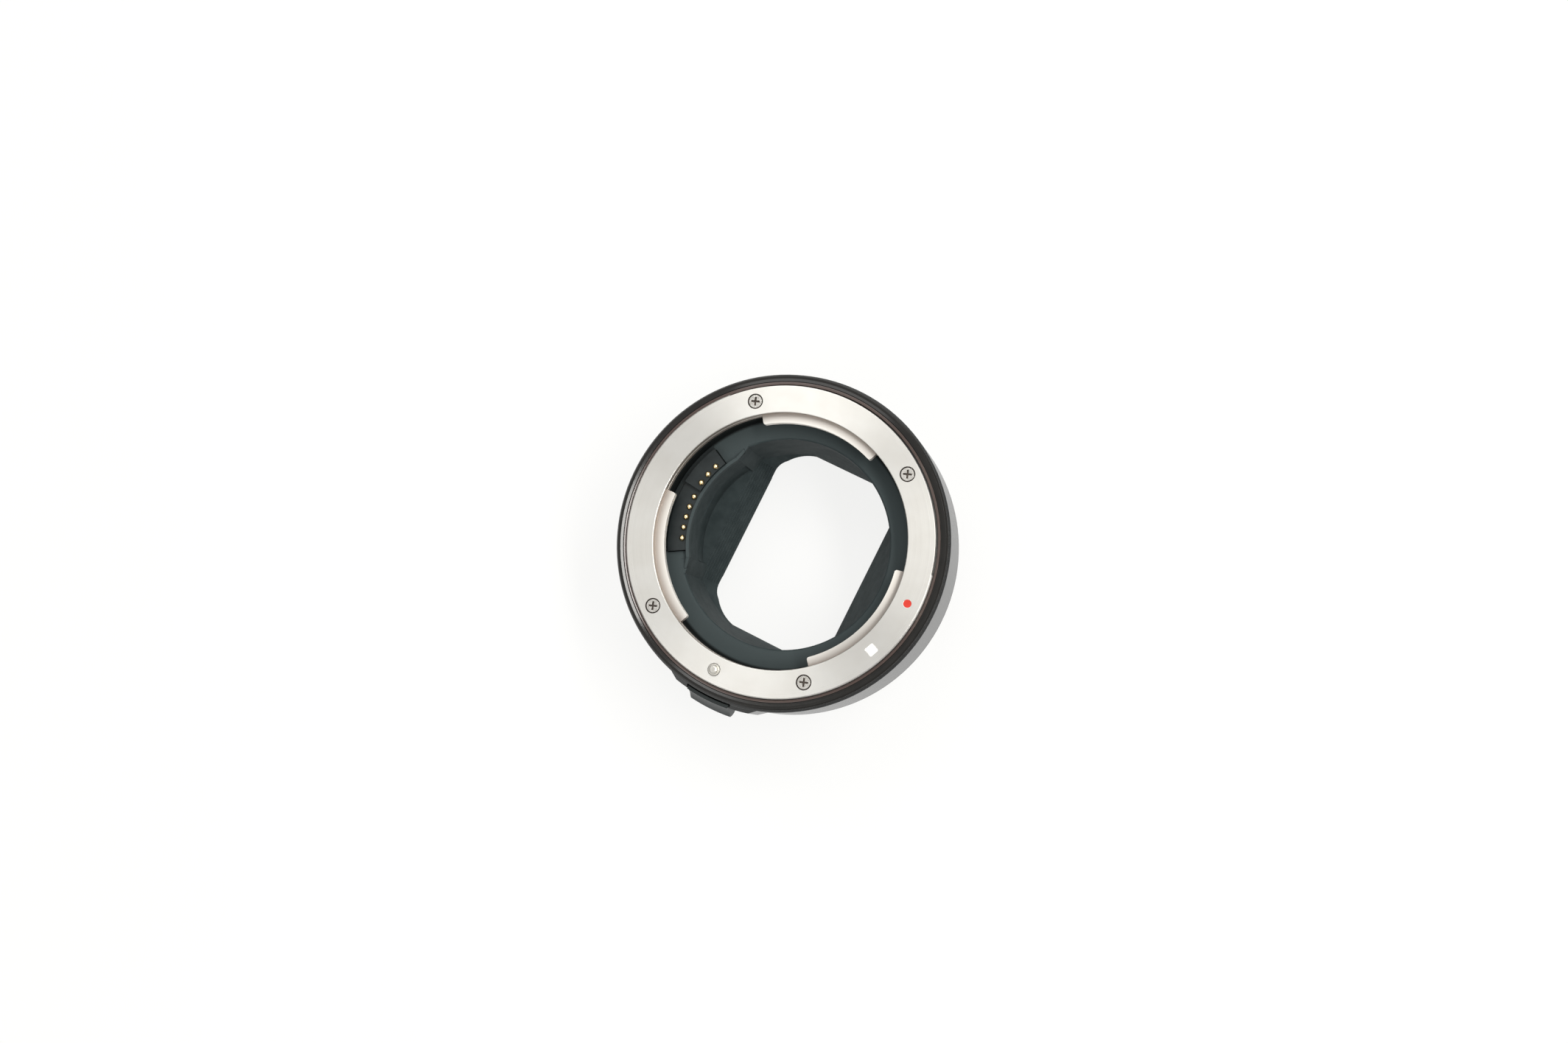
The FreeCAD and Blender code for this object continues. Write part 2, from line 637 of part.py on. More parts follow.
def baffle_screws():
    return [machine_screw(polar(baffle_screw_pcr, a), rear_flange_t, -1, small_head_r, small_head_h,
                          small_shank_r, rear_deck_t + small_screw_bite) for a in baffle_screw_angles]


def contact_pin_places():
    """Angle and height of the face for each contact pin."""
    return [(a, block_z + block_step) for a in pins_high] + [(a, block_z) for a in pins_low]


def front_contact_block():
    low = sector(block_in_r, block_out_r, block_from, block_to, block_base, block_z)
    high = sector(block_in_r, block_out_r, block_from, block_step_at, block_base, block_z + block_step)
    foot = sector(block_out_r - overlap, block_foot_r, block_from, block_to, floor_z, floor_z + block_foot_h)
    body = fused([low, high, foot])
    for angle, face in contact_pin_places():
        at = polar(pin_pcr, angle)
        body = body.cut(rod(pin_r + slide, at, block_base - 1, face + 1))
        body = body.cut(rod(collar_r + seat_gap, at, block_base - 1, collar_z + collar_h + fit))
    for angle in board_screw_angles:
        body = body.cut(rod(board_shank_r + thread_gap, polar(board_screw_pcr, angle), block_base - 1,
                            block_base + board_screw_length - board_t - play))
    return body


def contact_pin(angle, face):
    """Plunger with a round tip and a collar that stops it in its bore."""
    tip = face + pin_proud
    at = polar(pin_pcr, angle)
    shaft = rod(pin_r, at, collar_z + collar_h / 2, tip - pin_r)
    dome = Part.makeSphere(pin_r, Vector(at.x, at.y, tip - pin_r))
    collar = rod(collar_r, at, collar_z, collar_z + collar_h)
    return fused([shaft, dome, collar])


def coil(at, z0, z1, r, wire, turns):
    """Compression spring with a round wire."""
    pitch = (z1 - z0 - wire) / turns
    helix = Part.makeHelix(pitch, pitch * turns, r)
    section = Part.Wire(Part.makeCircle(wire / 2, Vector(r, 0, 0), Vector(0, 1, 0)))
    spring = Part.Wire(helix.Edges).makePipeShell([section], True, True)
    spring.translate(Vector(at.x, at.y, z0 + wire / 2))
    return spring


def contact_spring(angle):
    return coil(polar(pin_pcr, angle), block_base, collar_z, pin_r, pin_spring_wire, pin_spring_turns)


def contact_board():
    """Small circuit board that closes the block and carries the springs."""
    body = sector(block_in_r + board_gap, block_out_r - board_gap, block_from + 2 * block_slit,
                  block_to - block_slit, board_z, block_base)
    for angle in board_screw_angles:
        body = body.cut(rod(board_shank_r + fit, polar(board_screw_pcr, angle), board_z - 1, block_base + 1))
    return body


def contact_board_screws():
    return [machine_screw(polar(board_screw_pcr, a), board_z - board_head_h, -1, board_head_r, board_head_h,
                          board_shank_r, board_screw_length) for a in board_screw_angles]


def flex_circuit():
    """Ribbon from the lens contacts to the camera contacts, round the outside of the baffle."""
    in_r = pin_pcr + fit
    out_r = baffle_body_r + seat_gap + flex_t
    return fused([sector(out_r - flex_t, out_r, flex_from, flex_to, baffle_foot, board_z),
                  sector(in_r, out_r, flex_from, flex_to, board_z - flex_t, board_z),
                  sector(in_r, out_r, flex_from, flex_to, baffle_foot, baffle_foot + flex_t)])


def rear_mount_ring():
    body = turned([(spigot_bore_r, rear_flange_t), (rear_flange_r, rear_flange_t),
                   (rear_flange_r, ring_edge), (rear_flange_r - ring_edge, 0), (spigot_r, 0),
                   (spigot_r, -spigot_h + ring_edge), (spigot_r - ring_edge, -spigot_h),
                   (spigot_bore_r, -spigot_h)])
    lugs = []
    for a0, a1 in camera_lugs:
        lug = sector(spigot_r - spigot_t / 2, lug_r, a0, a1, -lug_drop - lug_t, -lug_drop)
        lugs.append(lug.makeFillet(tab_corner, edges_at_radius(lug, lug_r)))
    body = fused([body] + lugs)
    for angle in rear_screw_angles:
        at = polar(rear_screw_pcr, angle)
        body = body.cut(screw_hole(at, 0.0, -1, mount_head_r + fit, mount_head_h + head_sink,
                                   mount_shank_r + fit, rear_flange_t + 1))
    return body.cut(rod(lock_hole_r, polar(rear_screw_pcr, -90), -1, rear_flange_t + 1))


def rear_mount_screws():
    return [machine_screw(polar(rear_screw_pcr, a), head_sink, -1, mount_head_r, mount_head_h,
                          mount_shank_r, mount_screw_length) for a in rear_screw_angles]


def pad_shape(angle, z0, z1):
    pad = block(pad_pcr - pad_l / 2, pad_pcr + pad_l / 2, -pad_w / 2, pad_w / 2, z0, z1)
    pad.rotate(Vector(0, 0, 0), Vector(0, 0, 1), angle)
    return pad


def pad_angles():
    first = 180 - pad_pitch * (pad_count - 1) / 2
    return [first + i * pad_pitch for i in range(pad_count)]


def rear_contact_block():
    gap = 3 * fit
    body = sector(gate_contact_x, spigot_bore_r - gap, rear_block_from, rear_block_to, rear_block_end,
                  baffle_foot)
    body = body.cut(gate_form(rear_block_end - 1, baffle_foot + 1, gate_wall + gap))
    for angle in pad_angles():
        body = body.cut(pad_shape(angle, rear_block_end - 1, rear_block_end + pad_t))
    for angle in rear_block_screw_angles:
        body = body.cut(screw_hole(polar(rear_block_screw_pcr, angle), rear_block_end, -1,
                                   rear_block_head_r + fit, small_head_h + head_sink, small_shank_r + fit,
                                   baffle_foot - rear_block_end + 1))
    return body


def rear_contact_pads():
    return [pad_shape(a, rear_block_end - pad_proud, rear_block_end + pad_t) for a in pad_angles()]


def rear_contact_screws():
    return [machine_screw(polar(rear_block_screw_pcr, a), rear_block_end + head_sink, -1, rear_block_head_r,
                          small_head_h, small_shank_r, baffle_foot - rear_block_end + rear_block_bite)
            for a in rear_block_screw_angles]


def rear_seal():
    inner = rear_flange_r + fit
    outer = inner + seal_t
    return turned([(inner, seal_sink + seal_edge), (inner + seal_edge, seal_sink),
                   (outer - seal_edge, seal_sink), (outer, seal_sink + seal_edge),
                   (outer, rear_flange_t), (inner, rear_flange_t)])


def lock_guide_bush():
    lock = polar(lock_pcr, -90)
    return rod(bush_r, lock, deck_z - bush_h, deck_z).cut(rod(lock_pin_r + slide, lock, 0, register))


def lock_pin():
    """Stepped pin with a rounded tip; its shoulder lies just above the lens flange."""
    tip = register + lock_pin_proud
    step = register + lock_step_proud
    edge = 0.45
    pin = turned([(0, slider_z), (lock_pin_r, slider_z), (lock_pin_r, step), (lock_tip_r, step),
                  (lock_tip_r, tip - edge), (lock_tip_r - edge / 3, tip - edge * 0.4),
                  (lock_tip_r - edge, tip), (0, tip)])
    pin.translate(polar(lock_pcr, -90))
    return pin


def lock_slider():
    """Carriage inside the barrel that joins the lock pin to the lever."""
    half = slider_w / 2
    body = block(-half, half, slider_out_y, slider_in_y, slider_z, slider_top)
    body = body.makeFillet(slider_corner, upright_edges(body))
    body = body.cut(rod(lock_pin_r, polar(lock_pcr, -90), slider_z - 1, slider_top + 1))
    for x in (-lever_screw_x, lever_screw_x):
        body = body.cut(rod(lever_shank_r + thread_gap, Vector(x, lever_screw_y, 0), slider_z - 1,
                            tongue_z + lever_screw_length - fit))
    return body


def release_lever():
    """Thumb piece with a hollowed ramp, on a tongue that enters the barrel."""
    inner = barrel_r - channel_depth + lever_in_gap
    edge = 0.95
    low = Vector(lever_r, 0, lever_bottom + lever_foot)
    high = Vector(inner + lever_lip, 0, lever_top - 0.2)
    sag = (low + high) / 2 - Vector(lever_hollow, 0, lever_hollow / 2)
    corners = [Vector(inner, 0, lever_bottom), Vector(lever_r - edge, 0, lever_bottom),
               Vector(lever_r, 0, lever_bottom + edge)]
    edges = [line(corners[0], corners[1]), line(corners[1], corners[2]), line(corners[2], low),
             Part.Arc(low, sag, high).toShape(), line(high, Vector(inner, 0, lever_top)),
             line(Vector(inner, 0, lever_top), corners[0])]
    sweep = 24.0
    pad = Part.Face(Part.Wire(edges)).revolve(Vector(0, 0, 0), Vector(0, 0, 1), sweep)
    pad.rotate(Vector(0, 0, 0), Vector(0, 0, 1), -90 - sweep / 2)
    half = lever_w / 2
    limits = block(lever_x - half, lever_x + half, -lever_r - 1, -inner / 2, lever_bottom - 1, lever_top + 1)
    outer = [e for e in upright_edges(limits) if e.Vertexes[0].Point.y < -lever_r]
    pad = pad.common(limits.makeFillet(lever_corner, outer))
    overlap = 0.4
    tongue = block(-tongue_w / 2, tongue_w / 2, -inner - overlap, slider_in_y - overlap, tongue_z, slider_z)
    body = fused([pad, tongue])
    for x in (-lever_screw_x, lever_screw_x):
        body = body.cut(rod(lever_shank_r + fit, Vector(x, lever_screw_y, 0), tongue_z - 1, slider_z + 1))
    return body


def lever_screws():
    return [machine_screw(Vector(x, lever_screw_y, 0), tongue_z - lever_head_h, -1, lever_head_r,
                          lever_head_h, lever_shank_r, lever_screw_length)
            for x in (-lever_screw_x, lever_screw_x)]


def lock_spring():
    return coil(polar(lock_pcr, -90), rear_deck_top, tongue_z, lock_spring_r, lock_spring_wire,
                lock_spring_turns)


def write(name, shape):
    """One file for a piece; a list becomes a group of separate solids."""
    if isinstance(shape, list):
        shape = Part.makeCompound(shape)
    shape.exportStep("parts/" + name + ".step")
    print(name, "solids", len(shape.Solids), "valid", shape.isValid(), "volume", round(shape.Volume, 2))


def main():
    os.makedirs("parts", exist_ok=True)
    write("barrel", barrel())
    write("front_rim_ring", front_rim_ring())
    write("lens_mount_ring", lens_mount_ring())
    write("mount_leaf_spring", mount_leaf_spring())
    write("lens_mount_screws", lens_mount_screws())
    write("red_index_mark", red_mark_shape(register - mark_depth, register - mark_sink))
    write("white_index_mark", white_mark_shape(register - mark_depth, register - mark_sink))
    write("light_baffle", light_baffle())
    write("baffle_screws", baffle_screws())
    write("front_contact_block", front_contact_block())
    write("contact_board", contact_board())
    write("contact_board_screws", contact_board_screws())
    write("flex_circuit", flex_circuit())
    for number, (angle, face) in enumerate(contact_pin_places(), 1):
        write("contact_pin_%d" % number, contact_pin(angle, face))
        write("contact_spring_%d" % number, contact_spring(angle))
    write("rear_mount_ring", rear_mount_ring())
    write("rear_mount_screws", rear_mount_screws())
    write("rear_contact_block", rear_contact_block())
    write("rear_contact_pads", rear_contact_pads())
    write("rear_contact_screws", rear_contact_screws())
    write("rear_seal", rear_seal())
    write("camera_index_mark", camera_mark_shape(side_mark_depth, mark_sink))
    write("lock_guide_bush", lock_guide_bush())
    write("lock_pin", lock_pin())
    write("lock_slider", lock_slider())
    write("release_lever", release_lever())
    write("lever_screws", lever_screws())
    write("lock_spring", lock_spring())


main()
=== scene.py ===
import json
import math
import bpy
from mathutils import Matrix, Vector


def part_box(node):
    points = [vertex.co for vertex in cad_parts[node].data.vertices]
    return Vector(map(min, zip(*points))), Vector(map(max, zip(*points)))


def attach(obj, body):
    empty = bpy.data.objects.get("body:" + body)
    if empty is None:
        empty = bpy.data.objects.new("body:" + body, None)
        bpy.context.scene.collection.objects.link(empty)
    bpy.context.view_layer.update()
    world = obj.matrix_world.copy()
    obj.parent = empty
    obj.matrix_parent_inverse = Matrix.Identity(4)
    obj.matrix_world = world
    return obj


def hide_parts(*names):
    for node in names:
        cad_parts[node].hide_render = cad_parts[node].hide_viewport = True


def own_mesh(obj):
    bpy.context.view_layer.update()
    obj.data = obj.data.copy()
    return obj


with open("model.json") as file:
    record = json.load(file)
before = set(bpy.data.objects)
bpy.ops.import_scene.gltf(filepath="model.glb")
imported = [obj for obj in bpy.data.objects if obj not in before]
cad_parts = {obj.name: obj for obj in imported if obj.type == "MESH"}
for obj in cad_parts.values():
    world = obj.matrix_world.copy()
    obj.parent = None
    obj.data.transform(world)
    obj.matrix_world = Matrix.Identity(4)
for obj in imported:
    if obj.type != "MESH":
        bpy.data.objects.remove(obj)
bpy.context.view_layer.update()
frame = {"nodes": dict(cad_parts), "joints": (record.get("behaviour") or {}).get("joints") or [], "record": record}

MM = 0.001

# Camera, from the photo's fit
FOCAL_PX, PHOTO_W = 2500.0, 2128.0
SENSOR_W = 36.0                              # mm
CAMERA_TURNS = (-7.76, -11.65, -27.17)       # degrees about X, Y and Z
CAMERA_SHIFT = (-1.11, -3.86, -382.49)       # mm, lens flange centre seen from the camera
LENS_FLANGE_Z = 24.0

# Floor and lamps
FLOOR_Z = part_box("rear_mount_ring")[0][2]
FLOOR_HALF = 3.0                             # m
FLOOR_SEEN, FLOOR_MIRRORED = 0.82, 0.8       # share of plain white that the camera and gloss see
LAMP_DISTANCE = 1.1                          # m
SKY_LOW, SKY_HIGH, SKY_TOP = 0.30, 0.62, 0.7  # strength at the horizon and from a height up

# Sizes of the part in mm and degrees, for the small pieces and masks added here
BORE_R = 27.0
LENS_SIDE_Z = 20.0                           # the lens side's ring lies above this height
TAB_R = 25.1                                 # inner edge of the tabs
SHADE_R = (26.2, 26.7)                       # the baffle is painted black towards its outer wall, as painted shade
LAND_T = 0.38                                # steel between the tabs, inside the wider bore
LAND_TOP, LAND_FOOT = 22.2, 21.02
LAND_ARCS = ((11.0, 69.0), (124.3, 182.7), (244.0, 311.0))
LAND_STEP = 2.0                              # degrees between the points of its arcs
MOUTH_R, MOUTH_EDGE = 22.4, 0.4              # round mouth of the light path and its bevel
PARAPET_R, PARAPET_T, PARAPET_H = 20.6, 0.7, 1.1
PARAPET_END = 34.0                           # from the middle of the contact side
MOUTH_SLANT, RAMP_SLANT = 8.0, 5.5
SHOULDER_STEPS = 4
SHOULDER_TUCK, RAMP_TUCK = 0.5, 0.3          # degrees that ends reach into their neighbours
RAMP_SINK = 0.3                              # the ramps start under the floor
BAFFLE_FLOOR_Z, BAFFLE_FOOT_Z = 17.8, 2.4
BAFFLE_UPPER_Z = 17.6                        # the floor and the low wall are above it; above it the baffle is painted lighter, as painted light
OUTER_SEAM, TOP_SEAM = 0.02, 0.01            # keeps faces of two solids apart
SCREW_PCR, SCREW_ANGLES = 30.0, (-126.8, -52.8, 52.8, 126.8)
SCREW_PLACES = [(SCREW_PCR * math.cos(math.radians(a)), SCREW_PCR * math.sin(math.radians(a)))
                for a in SCREW_ANGLES]
SCREW_RING_R = 1.64                          # painted shade round the screws' heads, over their gaps
CROSS_Z = (23.3, 23.9)                       # heights of the driver crosses, painted dark between them as shade
RIM_BEVEL_R = 33.66                          # the front ring is brownish inside this radius, over its bevels
SHARP_ANGLE = 30.0

# Colours of single places
# Tabs: the steel's tone at their inner edge, darkening to painted shade at the bore wall, which takes the dark
# tone all over.
TAB_LIGHT, TAB_ROOT_PAINTED_SHADE = (0.86, 0.83, 0.78), (0.42, 0.37, 0.33)
# Painted shade round the screw heads and in their driver crosses.
SCREW_GAP_PAINTED_SHADE, CROSS_PAINTED_SHADE = (0.15, 0.13, 0.115), (0.13, 0.11, 0.095)
RIM_BEVEL_TONE = (0.075, 0.052, 0.046)
# Painted light on the baffle's floor and low wall, and painted shade towards its outer wall.
BAFFLE_PAINTED_LIGHT, BAFFLE_SHADE = (0.052, 0.065, 0.067), (0.010, 0.012, 0.012)


# Shader helpers

def map_range(tree, value, ends, results):
    """value mapped from the range ends to the range results, and held at their ends."""
    node = tree.nodes.new("ShaderNodeMapRange")
    tree.links.new(value, node.inputs["Value"])
    for name, number in zip(("From Min", "From Max", "To Min", "To Max"), (*ends, *results)):
        node.inputs[name].default_value = number
    return node.outputs["Result"]


class Paint:
    """A node material with a few short ways to join nodes."""

    def __init__(self, name):
        self.mat = bpy.data.materials.new(name)
        self.mat.use_nodes = True
        self.nodes, self.links = self.mat.node_tree.nodes, self.mat.node_tree.links
        self.nodes.clear()
        self.out = self.nodes.new("ShaderNodeOutputMaterial")
        self.bsdf = self.nodes.new("ShaderNodeBsdfPrincipled")
        self.links.new(self.bsdf.outputs["BSDF"], self.out.inputs["Surface"])
        self.place = self.nodes.new("ShaderNodeTexCoord").outputs["Object"]

    def set(self, **values):
        for name, value in values.items():
            self.bsdf.inputs[name.replace("_", " ")].default_value = value
        return self

    def join(self, output, name):
        self.links.new(output, self.bsdf.inputs[name])

    def math(self, kind, a, b=None):
        node = self.nodes.new("ShaderNodeMath")
        node.operation = kind
        for socket, value in zip(node.inputs, (a, b)):
            if isinstance(value, (int, float)):
                socket.default_value = value
            elif value is not None:
                self.links.new(value, socket)
        return node.outputs[0]

    def split(self):
        """The place's X, Y and Z."""
        node = self.nodes.new("ShaderNodeSeparateXYZ")
        self.links.new(self.place, node.inputs[0])
        return node.outputs

    def radius(self):
        """Distance from the optical axis."""
        x, y, _ = self.split()
        squares = self.math("ADD", self.math("MULTIPLY", x, x), self.math("MULTIPLY", y, y))
        return self.math("SQRT", squares)

    def ring_place(self):
        """Coordinates that stay the same round the optical axis: radius and height."""
        joined = self.nodes.new("ShaderNodeCombineXYZ")
        self.links.new(self.radius(), joined.inputs[0])
        self.links.new(self.split()[2], joined.inputs[2])
        return joined.outputs[0]

    def noise(self, size_mm, detail=2.0, rough=0.5, place=None):
        node = self.nodes.new("ShaderNodeTexNoise")
        node.inputs["Scale"].default_value = 1 / (size_mm * MM)
        node.inputs["Detail"].default_value = detail
        node.inputs["Roughness"].default_value = rough
        self.links.new(place or self.place, node.inputs["Vector"])
        return node.outputs["Fac"]

    def span(self, value, low, high, from_low=0.35, from_high=0.65):
        """value mapped to low..high; a noise stays mostly in the range that it is mapped from."""
        return map_range(self.mat.node_tree, value, (from_low, from_high), (low, high))

    def mixed(self, mask, base, colour):
        """base where the mask is 0 and colour where it is 1; each is a colour or comes from nodes."""
        node = self.nodes.new("ShaderNodeMix")
        node.data_type = "RGBA"
        self.links.new(mask, node.inputs["Factor"])
        for socket, value in (("A", base), ("B", colour)):
            if isinstance(value, tuple):
                node.inputs[socket].default_value = (*value, 1.0)
            else:
                self.links.new(value, node.inputs[socket])
        return node.outputs["Result"]

    def tint(self, value, dark, light, from_low=0.35, from_high=0.65):
        """Colour between two, by value."""
        return self.mixed(self.span(value, 0.0, 1.0, from_low, from_high), dark, light)

    def near(self, places, radius_mm):
        """1 within a radius of any of some places, seen along the optical axis, and 0 elsewhere."""
        flat = self.nodes.new("ShaderNodeVectorMath")
        flat.operation = "MULTIPLY"
        self.links.new(self.place, flat.inputs[0])
        flat.inputs[1].default_value = (1.0, 1.0, 0.0)
        least = None
        for x, y in places:
            node = self.nodes.new("ShaderNodeVectorMath")
            node.operation = "DISTANCE"
            self.links.new(flat.outputs[0], node.inputs[0])
            node.inputs[1].default_value = (x * MM, y * MM, 0.0)
            gap = node.outputs["Value"]
            least = gap if least is None else self.math("MINIMUM", least, gap)
        return self.math("LESS_THAN", least, radius_mm * MM)

    def above(self, height_mm):
        """1 above a height and 0 below it."""
        return self.math("GREATER_THAN", self.split()[2], height_mm * MM)

    def bump(self, height, depth_mm):
        node = self.nodes.new("ShaderNodeBump")
        node.inputs["Strength"].default_value = 1.0
        node.inputs["Distance"].default_value = depth_mm * MM
        self.links.new(height, node.inputs["Height"])
        return node

    def rounded(self, radius_mm, bump=None):
        """Softens edges in the shading, under an optional bump."""
        node = self.nodes.new("ShaderNodeBevel")
        node.samples = 6
        node.inputs["Radius"].default_value = radius_mm * MM
        if bump is not None:
            self.links.new(node.outputs[0], bump.inputs["Normal"])
            return bump.outputs[0]
        return node.outputs[0]


AXIS = [(0.0, 0.0)]


def turned_steel(name, light, dark, rough, aniso, line_mm, depth_mm, edge_mm):
    """Metal turned about the optical axis, with fine circular lines, painted shade round the screws' heads, and
    the tabs painted darker towards the bore wall as shade.
    """
    p = Paint(name).set(Metallic=1.0, Anisotropic=aniso, Anisotropic_Rotation=0.25)
    lines = p.noise(line_mm, 3.0, 0.6, p.ring_place())
    lens_side = p.above(LENS_SIDE_Z)
    in_bore = p.math("MULTIPLY", p.near(AXIS, BORE_R + OUTER_SEAM), lens_side)
    # Painted shade round each screw head.
    screw_gap_painted_shade = p.math("MULTIPLY", p.near(SCREW_PLACES, SCREW_RING_R), lens_side)
    # Painted shade: the tabs darken towards the bore wall, and the wall is dark.
    tabs = p.tint(p.radius(), TAB_LIGHT, TAB_ROOT_PAINTED_SHADE, TAB_R * MM, BORE_R * MM)
    tone = p.mixed(in_bore, p.tint(p.noise(6.0), dark, light), tabs)
    p.join(p.mixed(screw_gap_painted_shade, tone, SCREW_GAP_PAINTED_SHADE), "Base Color")
    grain = p.span(lines, rough * 0.85, rough * 1.15)
    p.join(p.math("ADD", grain, p.math("MULTIPLY", in_bore, 0.15)), "Roughness")
    p.join(p.rounded(edge_mm, p.bump(lines, depth_mm)), "Normal")
    tangent = p.nodes.new("ShaderNodeTangent")
    tangent.direction_type, tangent.axis = "RADIAL", "Z"
    p.join(tangent.outputs[0], "Tangent")
    return p.mat


def plain_metal(name, light, dark, rough, edge_mm=0.06, recess_z=None):
    """Bright metal; between the two heights recess_z, as in a driver cross, it is painted dark as shade in the
    recess.
    """
    p = Paint(name).set(Metallic=1.0)
    tone = p.tint(p.noise(0.9), dark, light)
    if recess_z is not None:
        # Painted shade in the driver cross between the two heights.
        recess_painted_shade = p.math("SUBTRACT", p.above(recess_z[0]), p.above(recess_z[1]))
        tone = p.mixed(recess_painted_shade, tone, CROSS_PAINTED_SHADE)
    p.join(tone, "Base Color")
    p.join(p.span(p.noise(0.25), rough * 0.8, rough * 1.2), "Roughness")
    p.join(p.rounded(edge_mm), "Normal")
    return p.mat


def moulded(name, dark, light, rough, grain_mm, depth_mm, edge_mm=0.12, shine=0.5, ior=1.5, inner_tone=None,
            upper=None, outer=None):
    """Plastic or paint with a fine grain. inner_tone is a radius and the colour inside it, upper a height and
    the lighter colour above it, painted light for the upward faces that the lamps light more, and outer two radii
    and the painted shade that it turns to between them."""
    p = Paint(name).set(Specular_IOR_Level=shine, IOR=ior)
    grain = p.noise(grain_mm, 3.0, 0.55)
    tone = p.tint(p.noise(2.5, 3.0), dark, light)
    if inner_tone is not None:
        tone = p.mixed(p.near(AXIS, inner_tone[0]), tone, inner_tone[1])
    if upper is not None:
        # Painted light: faces above the height are lighter.
        tone = p.mixed(p.above(upper[0]), tone, upper[1])
    if outer is not None:
        # Painted shade towards the outer wall.
        edge = p.span(p.radius(), 0.0, 1.0, outer[0][0] * MM, outer[0][1] * MM)
        tone = p.mixed(edge, tone, outer[1])
    p.join(tone, "Base Color")
    p.join(p.span(grain, rough * 0.9, rough * 1.1), "Roughness")
    p.join(p.rounded(edge_mm, p.bump(grain, depth_mm)), "Normal")
    return p.mat


PAINTS = {
    "mount_steel": turned_steel("turned_mount_steel", (0.90, 0.885, 0.84), (0.86, 0.84, 0.79),
                                0.32, 0.75, 0.16, 0.002, 0.12),
    "pin_steel": plain_metal("ground_pin_steel", (0.72, 0.70, 0.65), (0.66, 0.64, 0.59), 0.42, 0.05),
    "screw_steel": plain_metal("bright_screw_steel", (0.80, 0.775, 0.73), (0.70, 0.675, 0.63),
                               0.30, 0.05, CROSS_Z),
    "spring_steel": plain_metal("spring_sheet_steel", (0.50, 0.50, 0.50), (0.42, 0.42, 0.42), 0.34),
    "contact_gold": plain_metal("plated_contact_gold", (1.0, 0.80, 0.48), (0.95, 0.72, 0.38), 0.22, 0.25),
    "bush_brass": plain_metal("turned_bush_brass", (0.72, 0.56, 0.28), (0.62, 0.46, 0.22), 0.32),
    "barrel_paint": moulded("satin_barrel_paint", (0.012, 0.013, 0.013), (0.017, 0.018, 0.018),
                            0.26, 0.12, 0.003, 0.18, ior=1.6),
    "rim_gloss": moulded("polished_rim_black", (0.007, 0.0065, 0.0055), (0.010, 0.009, 0.0075),
                         0.14, 0.3, 0.001, 0.10, inner_tone=(RIM_BEVEL_R, RIM_BEVEL_TONE)),
    "baffle_plastic": moulded("matt_baffle_plastic", (0.034, 0.045, 0.047), (0.045, 0.058, 0.060),
                              0.60, 0.10, 0.012, 0.14, shine=0.04,
                              upper=(BAFFLE_UPPER_Z, BAFFLE_PAINTED_LIGHT), outer=(SHADE_R, BAFFLE_SHADE)),
    "contact_block_plastic": moulded("matt_block_plastic", (0.012, 0.016, 0.017), (0.017, 0.022, 0.023),
                                     0.45, 0.10, 0.008, shine=0.3),
    "lever_black": moulded("matt_lever_plastic", (0.009, 0.014, 0.014), (0.014, 0.020, 0.020),
                           0.42, 0.12, 0.008, 0.2, shine=0.3),
    "slider_plastic": moulded("slider_plastic", (0.06, 0.06, 0.06), (0.08, 0.08, 0.08), 0.5, 0.12, 0.006),
    "screw_black": moulded("black_oxide_screws", (0.03, 0.03, 0.03), (0.05, 0.05, 0.05), 0.4, 0.1, 0.003),
    "seal_rubber": moulded("seal_rubber", (0.018, 0.018, 0.018), (0.026, 0.026, 0.026), 0.7, 0.1, 0.010),
    "board_green": moulded("circuit_board", (0.015, 0.10, 0.05), (0.02, 0.13, 0.06), 0.35, 0.3, 0.002),
    "flex_amber": moulded("flex_film", (0.36, 0.16, 0.03), (0.44, 0.21, 0.05), 0.35, 0.4, 0.002),
    "red_mark": moulded("red_index_paint", (0.55, 0.035, 0.02), (0.62, 0.045, 0.03),
                        0.35, 0.2, 0.002, 0.05, shine=0.3),
    "white_mark": moulded("white_index_paint", (0.80, 0.79, 0.76), (0.86, 0.85, 0.83),
                          0.35, 0.2, 0.002, 0.05),
}

slots = {part["node"]: part["material_slot"] for part in frame["record"]["subparts"]}
for node_name, node_object in frame["nodes"].items():
    node_object.data.materials.clear()
    node_object.data.materials.append(PAINTS[slots[node_name]])


# Small pieces that the solids leave out

def add_object(name, data):
    thing = bpy.data.objects.new(name, data)
    bpy.context.scene.collection.objects.link(thing)
    return thing


def add_piece(name, mesh):
    piece = add_object(name, mesh)
    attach(piece, "root")
    return piece


def add_solids(name, solids, slot_name):
    """One piece from solids, each between two loops of as many points, in mm."""
    verts, faces = [], []
    for lower, upper in solids:
        first, n = len(verts), len(lower)
        verts += [tuple(c * MM for c in point) for point in lower + upper]
        faces.append([first + i for i in reversed(range(n))])
        faces.append([first + n + i for i in range(n)])
        faces += [[first + i, first + (i + 1) % n, first + n + (i + 1) % n, first + n + i] for i in range(n)]
    mesh = bpy.data.meshes.new(name)
    mesh.from_pydata(verts, [], faces)
    mesh.set_sharp_from_angle(angle=math.radians(SHARP_ANGLE))
    mesh.materials.append(PAINTS[slot_name])
    add_piece(name, mesh)


def at(r, angle):
    a = math.radians(angle)
    return (r * math.cos(a), r * math.sin(a))


def prism(outline, foot_z, top_z):
    return [(x, y, foot_z) for x, y in outline], [(x, y, top_z) for x, y in outline]


